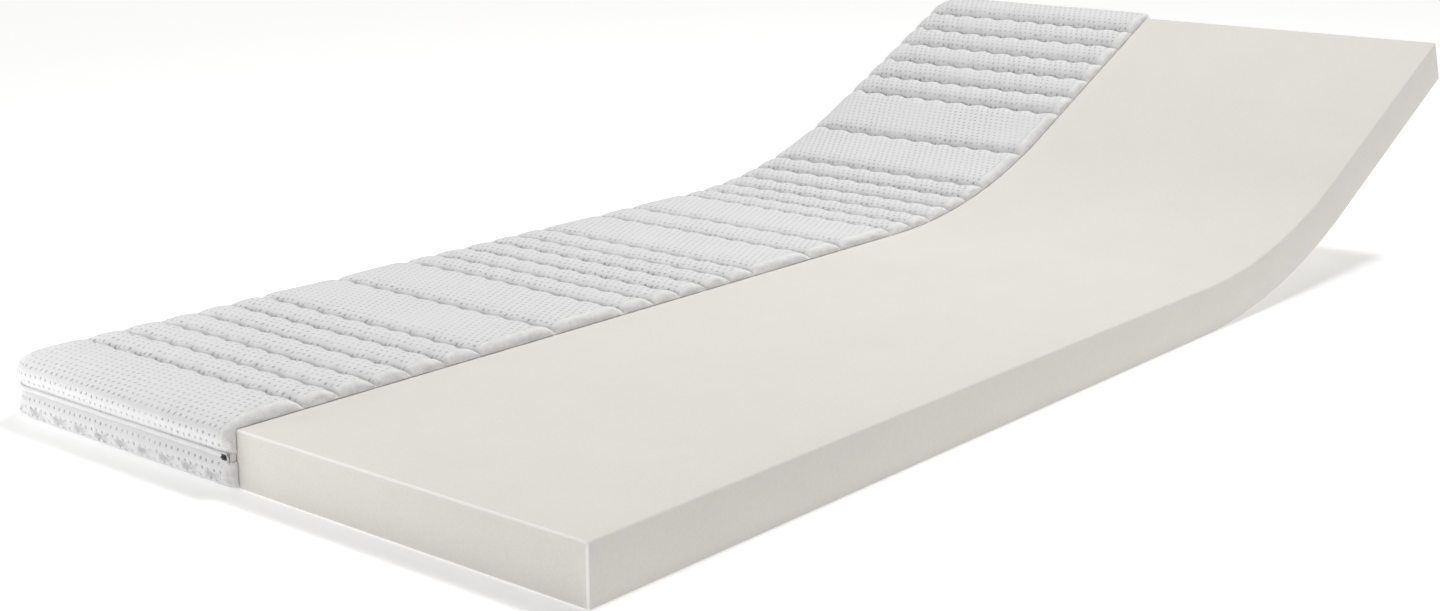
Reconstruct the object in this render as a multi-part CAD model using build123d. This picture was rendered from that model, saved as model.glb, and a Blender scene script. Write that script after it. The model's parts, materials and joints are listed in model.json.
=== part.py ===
"""Memory foam mattress core with a quilted cover zipped round its left side.

The mattress lies along Y with its foot end first, X across it and Z up. Its head end
is raised. Foam and cloth bend, so both are divided into sections that turn about
hinge lines in the underside. Each section is built lying flat, in a frame with its
origin at the middle of the core's foot edge, and is then carried to its place at rest.
"""
from build123d import *
import math
import os

# Core, in millimetres
FOAM_WIDTH = 900.0
FOAM_LENGTH = 2000.0
FOAM_HEIGHT = 66.0
FOAM_EDGE_RADIUS = 2.5
COVERED_CORNER_RADIUS = 30.0  # the two upright corners inside the cover

# Cover: lining against the core, then wadding, then the knitted face
COVERED_WIDTH = 400.0  # from the core's left side to the cover's open edge
LINING = 0.8
KNIT = 1.2
TOP_WADDING = 8.0
SIDE_WADDING = 10.0
BOTTOM_WADDING = 2.0  # pressed flat by the core's weight

# Zip round the border, between the cover's upper and lower trays
ZIP_HEIGHT = 38.0  # middle of the chain above the floor
TAPE = 0.8
TAPE_RECESS = 0.4  # tape face behind the knitted face
UPPER_TAPE_SHOWN = 1.5
LOWER_TAPE_SHOWN = 4.5
TEETH_HEIGHT = 1.5
TEETH_DEPTH = 1.4
TEETH_RECESS = 0.1
TEETH_SLOT = 1.1  # between the two rows, where the slider's divider runs

# Sliders
SLIDER_LENGTH = 7.0
SLIDER_PLATE = 1.2
SLIDER_FLANGE = 0.9
SLIDER_DIVIDER_LENGTH = 2.5
SLIDER_END_SPACE = 1.0  # from the cover's open edge, and from the corner's curve
BRIDGE_HEIGHT = 1.8
BRIDGE_WIDTH = 1.6
BRIDGE_END_INSET = 0.9
RUN_CLEARANCE = 0.3

# Raised head end
HEAD_LENGTH = 372.0
BEND_LENGTH = 438.0
HINGES = 4
REST_LIFT = 25.5  # degrees, all hinges together
FULL_LIFT = 60.0
SECTION_CLEARANCE = 0.3

# Sizes that follow
CUT_X = COVERED_WIDTH - FOAM_WIDTH / 2
SIDE = LINING + SIDE_WADDING + KNIT
TOP = LINING + TOP_WADDING + KNIT
BOTTOM = LINING + BOTTOM_WADDING + KNIT
CHAIN_HALF = TEETH_SLOT / 2 + TEETH_HEIGHT
UPPER_TRAY_LOW = ZIP_HEIGHT + CHAIN_HALF + UPPER_TAPE_SHOWN
LOWER_TRAY_HIGH = ZIP_HEIGHT - CHAIN_HALF - LOWER_TAPE_SHOWN
SLIDER_DIVIDER = TEETH_SLOT - 2 * RUN_CLEARANCE
SLIDER_REST_X = CUT_X - SLIDER_END_SPACE - SLIDER_LENGTH / 2
SLIDER_TRAVEL = COVERED_WIDTH - COVERED_CORNER_RADIUS - SLIDER_LENGTH - 2 * SLIDER_END_SPACE
BEND_START = FOAM_LENGTH - HEAD_LENGTH - BEND_LENGTH
HINGE_SPACING = BEND_LENGTH / HINGES
HINGE_LINES = [BEND_START + (i + 0.5) * HINGE_SPACING for i in range(HINGES)]
SECTIONS = ["foot"] + [f"bend_{i + 1}" for i in range(HINGES - 1)] + ["head"]
BEYOND = FOAM_LENGTH + FOAM_WIDTH  # reaches past every face, for cutting


def box_between(low, high):
    """A box from one corner to the opposite one."""
    size = [b - a for a, b in zip(low, high)]
    return Pos(*low) * Box(*size, align=Align.MIN)


def outline(side, right):
    """The plan of the core's covered side, grown outwards by side, up to x = right."""
    left = -FOAM_WIDTH / 2 - side
    plan = Rectangle(right - left, FOAM_LENGTH + 2 * side, align=Align.MIN)
    plan = Pos(left, -side) * plan
    corners = plan.vertices().sort_by(Axis.X)[:2]
    return fillet(corners, COVERED_CORNER_RADIUS + side)


def covered_block(side, top, bottom):
    """The covered side of the core, grown by one thickness on each side of it."""
    overrun = CUT_X + COVERED_CORNER_RADIUS
    low = BOTTOM - bottom
    block = Pos(0, 0, low) * extrude(outline(side, overrun), FOAM_HEIGHT + top - low)
    ends = block.faces().sort_by(Axis.Z)
    rims = ends[0].edges() + ends[-1].edges()
    return fillet(rims, FOAM_EDGE_RADIUS + side) & left_of_cut()


def left_of_cut():
    """Everything on the covered side of the cover's open edge."""
    return box_between((-BEYOND, -BEYOND, -BEYOND), (CUT_X, BEYOND, BEYOND))


def bare_block():
    """The core's uncovered side, down to the floor."""
    low = (CUT_X - COVERED_CORNER_RADIUS, 0, 0)
    block = box_between(low, (FOAM_WIDTH / 2, FOAM_LENGTH, FOAM_HEIGHT))
    return fillet(block.edges(), FOAM_EDGE_RADIUS) - left_of_cut()


def foam_core():
    """The core, thinner where the cover's lower tray lies under it."""
    return covered_block(0, 0, 0) + bare_block()


def cover_layer(outer, inner):
    """One layer of the cover all round, between two growths of the core."""
    return covered_block(*outer) - covered_block(*inner)


def upper_tray(layer):
    """The part of a layer above the zip."""
    return layer & box_between((-BEYOND, -BEYOND, UPPER_TRAY_LOW), (BEYOND, BEYOND, BEYOND))


def lower_tray(layer):
    """The part of a layer below the zip."""
    return layer & box_between((-BEYOND, -BEYOND, -BEYOND), (BEYOND, BEYOND, LOWER_TRAY_HIGH))


def border_band(recess, depth, low, high):
    """A band along the border, behind the knitted face by recess."""
    right = CUT_X + COVERED_CORNER_RADIUS
    ring = outline(SIDE - recess, right) - outline(SIDE - recess - depth, right)
    return Pos(0, 0, low) * extrude(ring, high - low) & left_of_cut()


def zip_bands():
    """The zip's tapes and rows of teeth."""
    return {
        "zip_upper_tape": border_band(
            TAPE_RECESS, TAPE, ZIP_HEIGHT + CHAIN_HALF, UPPER_TRAY_LOW
        ),
        "zip_lower_tape": border_band(
            TAPE_RECESS, TAPE, LOWER_TRAY_HIGH, ZIP_HEIGHT - CHAIN_HALF
        ),
        "zip_upper_teeth": border_band(
            TEETH_RECESS, TEETH_DEPTH, ZIP_HEIGHT + TEETH_SLOT / 2, ZIP_HEIGHT + CHAIN_HALF
        ),
        "zip_lower_teeth": border_band(
            TEETH_RECESS, TEETH_DEPTH, ZIP_HEIGHT - CHAIN_HALF, ZIP_HEIGHT - TEETH_SLOT / 2
        ),
    }


def flat_pieces():
    """Every soft piece at its full length, lying flat."""
    core = (0, 0, 0)
    lining = (LINING, LINING, LINING)
    wadding = (LINING + SIDE_WADDING, LINING + TOP_WADDING, LINING + BOTTOM_WADDING)
    knit = (SIDE, TOP, BOTTOM)
    layers = {
        "lining": cover_layer(lining, core),
        "wadding": cover_layer(wadding, lining),
        "knit": cover_layer(knit, wadding),
    }
    pieces = {"foam_core": foam_core()}
    for name, layer in layers.items():
        pieces[f"cover_upper_{name}"] = upper_tray(layer)
        pieces[f"cover_lower_{name}"] = lower_tray(layer)
    return pieces | zip_bands()


def slider():
    """A zip slider on the foot border, open along its sides for the tapes.

    A front and a back plate ride on the two faces of the chain, joined by a divider
    in the slot between the rows of teeth. A low bridge stands on the front plate.
    """
    half = CHAIN_HALF + RUN_CLEARANCE + SLIDER_FLANGE
    tape_face = SIDE - TAPE_RECESS
    front_in = SIDE - TEETH_RECESS + RUN_CLEARANCE
    front_out = front_in + SLIDER_PLATE
    back_out = SIDE - TEETH_RECESS - TEETH_DEPTH - RUN_CLEARANCE
    back_in = back_out - SLIDER_PLATE
    back_half = UPPER_TRAY_LOW - ZIP_HEIGHT - 2 * RUN_CLEARANCE
    end = SLIDER_LENGTH / 2
    front = box_between((-end, -front_out, -half), (end, -front_in, half))
    front = fillet(front.edges().filter_by(Axis.Y), SLIDER_FLANGE)
    back = box_between((-end, -back_out, -back_half), (end, -back_in, back_half))
    divider = box_between(
        (-end, -front_out, -SLIDER_DIVIDER / 2),
        (SLIDER_DIVIDER_LENGTH - end, -back_in, SLIDER_DIVIDER / 2),
    )
    body = front + back + divider
    flange_low = CHAIN_HALF + RUN_CLEARANCE
    for z in (flange_low, -half):
        body += box_between(
            (SLIDER_FLANGE - end, -front_out, z),
            (end - SLIDER_FLANGE, -tape_face - RUN_CLEARANCE, z + SLIDER_FLANGE),
        )
    return Pos(SLIDER_REST_X, 0, ZIP_HEIGHT) * (body + bridge(front_out, end))


def bridge(face, end):
    """The low arch on a slider's front plate, where a pull can be hooked on."""
    reach = end - BRIDGE_END_INSET
    half = BRIDGE_WIDTH / 2
    arch = box_between(
        (-reach, -face - BRIDGE_HEIGHT, -half), (reach, -face, half)
    )
    bar = BRIDGE_HEIGHT / 2
    opening = box_between(
        (bar - reach, -face - bar, -half), (reach - bar, -face, half)
    )
    return arch - opening


def section_space(index):
    """The space of one section lying flat, with its ends leaning clear of the bend."""
    lean = math.tan(math.radians(FULL_LIFT / HINGES / 2))
    ends = [-BEYOND] + HINGE_LINES + [BEYOND]
    start = ends[index] + SECTION_CLEARANCE / 2
    stop = ends[index + 1] - SECTION_CLEARANCE / 2
    high = 2 * FOAM_HEIGHT + TOP
    low = -high
    corners = [
        (start, low),
        (stop, low),
        (stop, 0),
        (stop - high * lean, high),
        (start + high * lean, high),
        (start, 0),
    ]
    face = make_face(Plane.YZ * Polyline(*corners, close=True))
    return Pos(-BEYOND, 0, 0) * extrude(face, 2 * BEYOND, dir=(1, 0, 0))


def section_place(index):
    """Where a section stands at rest, relative to its place lying flat."""
    place = Location()
    for line in HINGE_LINES[:index]:
        turn = Pos(0, line, 0) * Rot(REST_LIFT / HINGES, 0, 0) * Pos(0, -line, 0)
        place = place * turn
    return place


def hinge_points():
    """Each hinge line's middle at rest, in the frame of the core's foot edge."""
    places = [section_place(i) * Pos(0, line, 0) for i, line in enumerate(HINGE_LINES)]
    return [place.position for place in places]


def mattress():
    """Every node at rest, in the frame of the core's foot edge."""
    nodes = {}
    whole = flat_pieces()
    for index, section in enumerate(SECTIONS):
        space = section_space(index)
        place = section_place(index)
        for name, piece in whole.items():
            nodes[f"{name}_{section}"] = place * (piece & space)
    foot_slider = slider()
    head_slider = Pos(0, FOAM_LENGTH, 0) * mirror(foot_slider, Plane.XZ)
    nodes["zip_slider_foot"] = foot_slider
    nodes["zip_slider_head"] = section_place(HINGES) * head_slider
    return nodes


def origin_shift(nodes):
    """From the core's foot edge to the middle of the whole mattress's underside."""
    bounds = Compound(children=[Part(node.wrapped) for node in nodes.values()]).bounding_box()
    return Vector(-bounds.center().X, -bounds.center().Y, -bounds.min.Z)


def main():
    os.makedirs("parts", exist_ok=True)
    nodes = mattress()
    shift = Location(origin_shift(nodes))
    for name, node in nodes.items():
        export_step(shift * node, f"parts/{name}.step")


if __name__ == "__main__":
    main()
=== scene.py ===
"""Looks of a memory foam mattress: its foam core, quilted cover, zip, floor, light and camera.

Everything is in metres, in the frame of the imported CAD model. Positions on the mattress are
given as x across it, s along its underside from the foot end, and h above the underside;
Lie.place carries them round the bend.
"""

import json
import math

import bmesh
import bpy
import numpy as np
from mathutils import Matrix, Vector

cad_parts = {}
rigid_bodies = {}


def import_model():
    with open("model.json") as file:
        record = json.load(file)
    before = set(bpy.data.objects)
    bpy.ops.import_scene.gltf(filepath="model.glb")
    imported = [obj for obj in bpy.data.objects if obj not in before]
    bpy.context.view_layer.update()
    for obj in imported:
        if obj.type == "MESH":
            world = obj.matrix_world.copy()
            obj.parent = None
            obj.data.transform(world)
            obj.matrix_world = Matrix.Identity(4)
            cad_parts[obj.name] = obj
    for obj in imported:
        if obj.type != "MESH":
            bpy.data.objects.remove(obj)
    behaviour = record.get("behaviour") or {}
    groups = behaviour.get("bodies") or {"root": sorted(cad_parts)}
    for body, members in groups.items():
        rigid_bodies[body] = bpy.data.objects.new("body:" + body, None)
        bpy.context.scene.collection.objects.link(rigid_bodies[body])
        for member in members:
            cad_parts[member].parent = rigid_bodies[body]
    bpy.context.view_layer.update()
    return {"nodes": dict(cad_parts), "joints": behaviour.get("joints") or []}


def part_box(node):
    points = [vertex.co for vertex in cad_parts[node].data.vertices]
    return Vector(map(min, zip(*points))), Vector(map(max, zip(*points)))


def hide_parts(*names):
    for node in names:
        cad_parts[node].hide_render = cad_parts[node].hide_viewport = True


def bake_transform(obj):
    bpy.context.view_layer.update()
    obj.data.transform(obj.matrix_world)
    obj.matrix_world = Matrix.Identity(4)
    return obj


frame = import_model()

bl_info = {
    "name": "Quilted Foam Mattress",
    "version": (1, 0, 0),
    "blender": (4, 5, 0),
    "location": "3D View > Sidebar > Mattress",
    "description": "Builds a foam core, its quilted cover and zip round the mattress frame",
    "category": "Object",
}

# ---- What the frame says ----

CORE_LOW, CORE_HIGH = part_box("foam_core_foot")
HEAD_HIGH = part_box("foam_core_head")[1]
KNIT_LOW, KNIT_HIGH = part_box("cover_upper_knit_foot")
TAPE_LOW, TAPE_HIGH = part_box("zip_lower_tape_foot")
UPPER_TAPE_LOW, UPPER_TAPE_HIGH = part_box("zip_upper_tape_foot")
LIFTS = [j for j in frame["joints"] if j["name"].startswith("head_lift")]
BODIES = [LIFTS[0]["parent"]] + [j["child"] for j in LIFTS]
SECTIONS = [body.removesuffix("_section") for body in BODIES]

LEFT, RIGHT, FOOT = CORE_LOW.x, CORE_HIGH.x, CORE_LOW.y
CUT = KNIT_HIGH.x  # where the cover is cut open
CORE_TOP = CORE_HIGH.z
SIDE = LEFT - KNIT_LOW.x  # the cover's thickness at the border
TOP = KNIT_HIGH.z - CORE_TOP  # and on top
UPPER_EDGE = KNIT_LOW.z  # the two trays' edges beside the zip
LOWER_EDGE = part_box("cover_lower_knit_foot")[1].z
CHAIN = (TAPE_HIGH.z + UPPER_TAPE_LOW.z) / 2  # middle of the zip


class Lie:
    """How the mattress lies: a flat foot part, an arc, and a straight raised head part."""

    def __init__(self):
        points = [Vector(j["pos_m"]) for j in LIFTS]
        self.spacing = (points[1] - points[0]).length
        self.start = points[0].y - FOOT - self.spacing / 2
        self.length = self.spacing * len(LIFTS)
        self.lift = math.radians(-sum(j["range_deg"][0] for j in LIFTS))
        self.radius = self.length / self.lift
        beyond_hinge = (HEAD_HIGH.y - points[-1].y) / math.cos(self.lift)
        self.end = self.start + self.length - self.spacing / 2 + beyond_hinge
        self.seams = [self.start + k * self.spacing for k in range(1, len(LIFTS))]

    def underside(self, s):
        """Y, Z and lean of the underside at s."""
        angle = np.clip((s - self.start) / self.radius, 0, self.lift)
        beyond = np.maximum(s - self.start - self.length, 0)
        y = FOOT + np.minimum(s, self.start) + self.radius * np.sin(angle) + beyond * math.cos(self.lift)
        z = self.radius * (1 - np.cos(angle)) + beyond * math.sin(self.lift)
        return y, z, angle

    def place(self, x, s, h):
        """Points in the frame from places on the mattress."""
        y, z, angle = self.underside(s)
        return np.stack([x + 0 * s, y - h * np.sin(angle), z + h * np.cos(angle)], -1)


LIE = Lie()
PARTS = ["foot_end", "middle_1", "middle_2", "head_end"]
PART_SECTIONS = [SECTIONS[0:1], SECTIONS[1:2], SECTIONS[2:3], SECTIONS[3:5]]
BLEND_MARGIN = 0.006


def bend_with_frame(obj, part):
    """Bakes the piece's transform into its mesh; the ends of the hinge that its part crosses are worked
    out but not used.
    """
    hinge = LIE.start + (part + 0.5) * LIE.spacing
    reach = LIE.spacing / 2 - BLEND_MARGIN
    ends = LIE.place(np.zeros(2), np.array([hinge - reach, hinge + reach]), np.zeros(2))
    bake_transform(obj)


def place_piece(obj, part, kind=None):
    """Hides the CAD nodes that a piece stands for, and bakes its transform."""
    if kind:
        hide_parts(*[f"{kind}_{section}" for section in PART_SECTIONS[part]])
    bend_with_frame(obj, part)


def part_ranges(places):
    """Ranges of the places in each part of the mattress; neighbours share their seam."""
    marks = [0, *(int(np.argmin(np.abs(places - seam))) for seam in LIE.seams), len(places) - 1]
    return [slice(a, b + 1) for a, b in zip(marks, marks[1:])]


# ---- Settings ----


def length(name, description, default):
    """A setting in metres."""
    return bpy.props.FloatProperty(
        name=name, description=description, default=default, unit="LENGTH", precision=4
    )


def colour(name, description, default):
    """A linear colour setting."""
    return bpy.props.FloatVectorProperty(
        name=name, description=description, default=default, subtype="COLOR"
    )


class QuiltSettings(bpy.types.PropertyGroup):
    """Sizes of the quilted cover."""

    close_rows: bpy.props.IntProperty(
        name="Rows in a close group", description="Stitch rows in each close group", default=6
    )
    close_spacing: length("Close spacing", "Between rows of a close group", 0.052)
    wide_spacing: length("Wide spacing", "Across a wide channel", 0.124)
    middle_spacing: length("Middle spacing", "Between the two middle rows", 0.073)
    middle_offset: length("Middle offset", "Middle of the pattern towards the head", 0.018)
    wave_length: length("Wave length", "Of the stitch rows' wave", 0.041)
    wave_height: length("Wave height", "Of the stitch rows' wave, to each side", 0.0026)
    stitched: length("Stitched thickness", "Cover thickness under a stitch row", 0.0018)
    puff: length("Puff", "Extra height of a channel's crown", 0.0036)
    shoulder: length("Shoulder", "From a stitch row to full height", 0.024)
    crease: length("Crease", "Half the width of the groove's floor", 0.0007)
    settle: length("Settled depth", "Thickness of the cover under the core", 0.004)
    corner: length("Corner radius", "Of the core's covered corners", 0.030)
    edge: length("Core edge radius", "Rounding of the core's edges", 0.0025)
    upper_round: length("Upper rounding", "Outside radius of the upper cover's edge", 0.021)
    lower_round: length("Lower rounding", "Outside radius of the lower cover's edge", 0.017)
    belly: length("Belly", "How far the border swells between zip and edge", 0.0034)
    knit_short: length("Knit short of cut", "How much of the wadding shows at the cut", 0.0098)
    wadding_short: length("Wadding short of cut", "Where the wadding starts to round off", 0.0095)
    wadding_reach: length("Wadding reach", "How far the wadding swells out at the cut", 0.0114)
    knit: length("Knit", "Thickness of the knitted face", 0.0012)
    lining: length("Lining", "Thickness of the lining", 0.0008)
    grid_across: length("Grid across", "Mesh spacing across the mattress", 0.0042)
    grid_along: length("Grid along", "Mesh spacing along the mattress", 0.0072)
    grid_border: length("Grid on the border", "Mesh spacing up the border", 0.0026)


class StitchSettings(bpy.types.PropertyGroup):
    """Sizes of the thread and the zip."""

    stitch_pitch: length("Stitch pitch", "From one stitch to the next", 0.0042)
    stitch_length: length("Stitch length", "Length of a stitch", 0.0034)
    thread: length("Thread", "Thickness of the quilting thread", 0.0006)
    tooth_pitch: length("Tooth pitch", "From one zip tooth to the next", 0.0024)
    tooth_width: length("Tooth width", "Of a zip tooth along the zip", 0.0019)
    tooth_height: length("Tooth height", "Of a zip tooth across the zip", 0.0030)
    tooth_depth: length("Tooth depth", "Of a zip tooth from front to back", 0.0014)
    hem: length("Hem", "Thickness of the rolled hem above the zip", 0.0026)


class ColourSettings(bpy.types.PropertyGroup):
    """Base colours, as linear values."""

    foam: colour("Foam", "Off-white foam", (0.785, 0.762, 0.722))
    knit: colour("Knit", "White knitted face", (0.755, 0.755, 0.76))
    wadding: colour("Wadding", "White fibre wadding", (0.94, 0.94, 0.94))
    tape: colour("Zip tape", "Pale grey woven tape", (0.74, 0.745, 0.75))
    floor: colour("Floor", "Pale floor", (0.95, 0.95, 0.95))


# ---- Small tools ----


def smoothstep(t):
    """0 to 1 with soft ends, as t goes from 0 to 1."""
    t = np.clip(t, 0, 1)
    return t * t * (3 - 2 * t)


def soft_noise(x, y, size, seed):
    """Smooth random values between -1 and 1 that change over about size."""
    count = 256
    values = np.random.default_rng(seed).uniform(-1, 1, (count, count))
    u, v = x / size, y / size
    i, j = np.floor(u).astype(int), np.floor(v).astype(int)
    fu, fv = smoothstep(u - i), smoothstep(v - j)
    i0, i1, j0, j1 = i % count, (i + 1) % count, j % count, (j + 1) % count
    low = values[i0, j0] * (1 - fu) + values[i1, j0] * fu
    high = values[i0, j1] * (1 - fu) + values[i1, j1] * fu
    return low * (1 - fv) + high * fv


def steps(start, stop, size, through=()):
    """Even steps from start to stop, no longer than size, that land on each value in through."""
    marks = [start] + sorted(t for t in through if start + size / 4 < t < stop - size / 4) + [stop]
    runs = [
        np.linspace(a, b, max(1, math.ceil((b - a) / size - 1e-9)) + 1)[:-1]
        for a, b in zip(marks, marks[1:])
    ]
    return np.concatenate(runs + [[stop]])


def new_mesh(name, points, faces, finish, uvs=None):
    """A smooth mesh object at the origin, in the frame."""
    mesh = bpy.data.meshes.new(name)
    mesh.from_pydata(np.asarray(points).reshape(-1, 3).tolist(), [], faces)
    mesh.materials.append(FINISHES[finish])
    if uvs is not None:
        layer = mesh.uv_layers.new(name="cloth")
        corner_points = np.zeros(len(mesh.loops), int)
        mesh.loops.foreach_get("vertex_index", corner_points)
        layer.data.foreach_set("uv", np.asarray(uvs).reshape(-1, 2)[corner_points].ravel())
    mesh.shade_smooth()
    mesh.update()
    return linked(name, mesh)


def linked(name, data):
    """An object in the scene."""
    obj = bpy.data.objects.new(name, data)
    bpy.context.scene.collection.objects.link(obj)
    return obj


def sharpen(obj, degrees):
    """Marks edges sharper than an angle, so that shading breaks there."""
    bpy.context.view_layer.objects.active = obj
    for other in bpy.context.selected_objects:
        other.select_set(False)
    obj.select_set(True)
    bpy.ops.object.shade_smooth_by_angle(angle=math.radians(degrees), keep_sharp_edges=True)
    obj.select_set(False)


def mend_normals(obj):
    """Turns every face outwards."""
    shape = bmesh.new()
    shape.from_mesh(obj.data)
    bmesh.ops.recalc_face_normals(shape, faces=shape.faces)
    shape.to_mesh(obj.data)
    shape.free()


def quads(rows, columns, first=0, flip=False):
    """Faces of a grid of points, row by row."""
    r, c = np.meshgrid(np.arange(rows - 1), np.arange(columns - 1), indexing="ij")
    a = (first + r * columns + c).ravel()
    faces = np.stack([a, a + 1, a + columns + 1, a + columns], -1)
    return faces[:, ::-1] if flip else faces


def rim(rows, columns):
    """Indices round a grid's edge, in order."""
    index = np.arange(rows * columns).reshape(rows, columns)
    return np.concatenate([index[0, :-1], index[:-1, -1], index[-1, :0:-1], index[:0:-1, 0]])


def closed_layer(outer, inner, flip):
    """Points and faces of a solid between two grids of the same size."""
    rows, columns = outer.shape[:2]
    count = rows * columns
    loop = rim(rows, columns)
    ahead = np.roll(loop, -1)
    wall = np.stack([ahead, loop, loop + count, ahead + count], -1)
    faces = np.concatenate([
        quads(rows, columns, 0, flip),
        quads(rows, columns, count, not flip),
        wall[:, ::-1] if flip else wall,
    ])
    return np.concatenate([outer.reshape(-1, 3), inner.reshape(-1, 3)]), faces.tolist()

def tube_faces(rows, around, flip):
    """Faces of a tube of rings, with a cap at each end."""
    ring = np.arange(around)
    ahead = np.roll(ring, -1)
    band = np.stack([ring, ahead, ahead + around, ring + around], -1)
    sides = np.concatenate([band + row * around for row in range(rows - 1)])
    turn = -1 if flip else 1
    caps = [ring[::-1], ring + (rows - 1) * around]
    return sides[:, ::turn].tolist() + [cap[::turn].tolist() for cap in caps]


# ---- Materials ----

GROUPS = {}
FINISHES = {}


class Builder:
    """Adds nodes to a tree and links them."""

    def __init__(self, tree):
        self.tree = tree

    def add(self, kind, values=None, links=None, **settings):
        """A node with its settings, constant inputs and linked inputs."""
        node = self.tree.nodes.new(kind)
        for key, value in settings.items():
            setattr(node, key, value)
        for key, value in (values or {}).items():
            node.inputs[key].default_value = value
        for key, source in (links or {}).items():
            self.tree.links.new(source, node.inputs[key])
        return node

    def link(self, source, target):
        self.tree.links.new(source, target)

    def math(self, operation, a, b=None):
        """The result of one calculation on numbers or sockets."""
        node = self.add("ShaderNodeMath", operation=operation)
        for socket, value in zip(node.inputs, (a, b)):
            if value is None:
                continue
            if isinstance(value, (int, float)):
                socket.default_value = value
            else:
                self.link(value, socket)
        return node.outputs[0]

    def plus(self, a, b):
        return self.math("ADD", a, b)

    def minus(self, a, b):
        return self.math("SUBTRACT", a, b)

    def times(self, a, b):
        return self.math("MULTIPLY", a, b)

    def ratio(self, a, b):
        return self.math("DIVIDE", a, b)

    def ramp(self, factor, low, high):
        """A smooth 0 to 1 mask between two values."""
        node = self.add(
            "ShaderNodeMapRange", {"From Min": low, "From Max": high}, {"Value": factor},
            interpolation_type="SMOOTHSTEP",
        )
        return node.outputs["Result"]

    def blend_colours(self, factor, first, second):
        """A colour between two constant colours."""
        node = self.add("ShaderNodeMix", links={"Factor": factor}, data_type="RGBA")
        node.inputs["A"].default_value = (*first, 1)
        node.inputs["B"].default_value = (*second, 1)
        return node.outputs["Result"]


class Finish(Builder):
    """A material, and the steps that every surface here shares."""

    def __init__(self, name):
        self.material = bpy.data.materials.new(name)
        self.material.use_nodes = True
        super().__init__(self.material.node_tree)
        self.shader = self.tree.nodes["Principled BSDF"]

    def in_object(self):
        """Places on the mattress."""
        return self.add("ShaderNodeTexCoord").outputs["Object"]

    def in_cloth(self):
        """Places on a cloth as it was cut, lying flat."""
        return self.add("ShaderNodeUVMap", uv_map="cloth").outputs["UV"]

    def mottle(self, place, slow, fine):
        """The shared slow and fine unevenness, each at a scale."""
        scales = {"Slow Scale": slow, "Fine Scale": fine}
        node = self.add("ShaderNodeGroup", scales, {"Vector": place}, node_tree=GROUPS["mottle"])
        return node.outputs["Slow"], node.outputs["Fine"]

    def surface(self, body, rough, fine, height, bump):
        """Links the colour, a roughness between two values that fine varies, and the bump."""
        varied = self.add("ShaderNodeMapRange", {"To Min": rough[0], "To Max": rough[1]}, {"Value": fine})
        bent = self.add("ShaderNodeBump", {"Strength": bump[0], "Distance": bump[1]}, {"Height": height})
        self.link(body, self.shader.inputs["Base Color"])
        self.link(varied.outputs["Result"], self.shader.inputs["Roughness"])
        self.link(bent.outputs["Normal"], self.shader.inputs["Normal"])

    def constants(self, values):
        """Sets the shader's own values, and hands over the material."""
        for name, value in values.items():
            self.shader.inputs[name].default_value = value
        return self.material


def darker(tint, *shares):
    """A colour times one share, or a share for each channel."""
    return tuple(c * share for c, share in zip(tint, shares * 3 if len(shares) == 1 else shares))


def new_group(name, inputs, outputs):
    """A shader group with named inputs and float outputs, and its builder, start and end."""
    group = bpy.data.node_groups.new(name, "ShaderNodeTree")
    group.interface.new_socket(name="Vector", in_out="INPUT", socket_type="NodeSocketVector")
    for socket, value in inputs.items():
        made = group.interface.new_socket(name=socket, in_out="INPUT", socket_type="NodeSocketFloat")
        made.default_value = value
    for socket in outputs:
        group.interface.new_socket(name=socket, in_out="OUTPUT", socket_type="NodeSocketFloat")
    build = Builder(group)
    return group, build, build.add("NodeGroupInput").outputs, build.add("NodeGroupOutput").inputs


def mottle_group():
    """Slow and fine unevenness that every surface shares."""
    scales = {"Slow Scale": 6.0, "Fine Scale": 900.0}
    group, build, start, end = new_group("Mottling", scales, ("Slow", "Fine"))
    for name, detail, roughness in (("Slow", 4.0, 0.6), ("Fine", 3.0, 0.65)):
        noise = build.add(
            "ShaderNodeTexNoise", {"Detail": detail, "Roughness": roughness},
            {"Vector": start["Vector"], "Scale": start[f"{name} Scale"]},
        )
        build.link(noise.outputs["Fac"], end[name])
    return group


def dimple_group():
    """Staggered slanting dimples of a double knit, as a height and a mask of their floors, where painted
    shade goes.
    """
    sizes = {
        "Across": 0.0100, "Along": 0.0090, "Stagger": 0.40, "Width": 0.0022, "Length": 0.0027,
        "Slant": 0.30, "Wander": 0.0040,
    }
    group, build, start, end = new_group("Knit Dimples", sizes, ("Height", "Painted Shade"))
    stray = build.add("ShaderNodeTexNoise", {"Scale": 75.0, "Detail": 1.0}, {"Vector": start["Vector"]})
    place = build.add("ShaderNodeSeparateXYZ", links={"Vector": start["Vector"]}).outputs
    sway = build.add("ShaderNodeSeparateColor", links={"Color": stray.outputs["Color"]}).outputs
    across = build.plus(place["X"], build.times(sway["Red"], start["Wander"]))
    along = build.plus(place["Y"], build.times(sway["Green"], start["Wander"]))
    line = build.ratio(along, start["Along"])
    shift = build.times(build.math("FLOOR", line), start["Stagger"])
    loop = build.plus(build.ratio(across, start["Across"]), shift)
    off_along = build.times(build.minus(build.math("FRACT", line), 0.5), start["Along"])
    off_across = build.times(build.minus(build.math("FRACT", loop), 0.5), start["Across"])
    leaned = build.minus(off_across, build.times(off_along, start["Slant"]))
    wide = build.ratio(leaned, start["Width"])
    long = build.ratio(off_along, start["Length"])
    distance = build.math("SQRT", build.plus(build.times(wide, wide), build.times(long, long)))
    build.link(build.ramp(distance, 0.0, 1.25), end["Height"])
    # Mask of the dimples' floors, which the knit uses for painted shade.
    build.link(build.minus(1.0, build.ramp(distance, 0.15, 0.95)), end["Painted Shade"])
    return group


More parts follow.
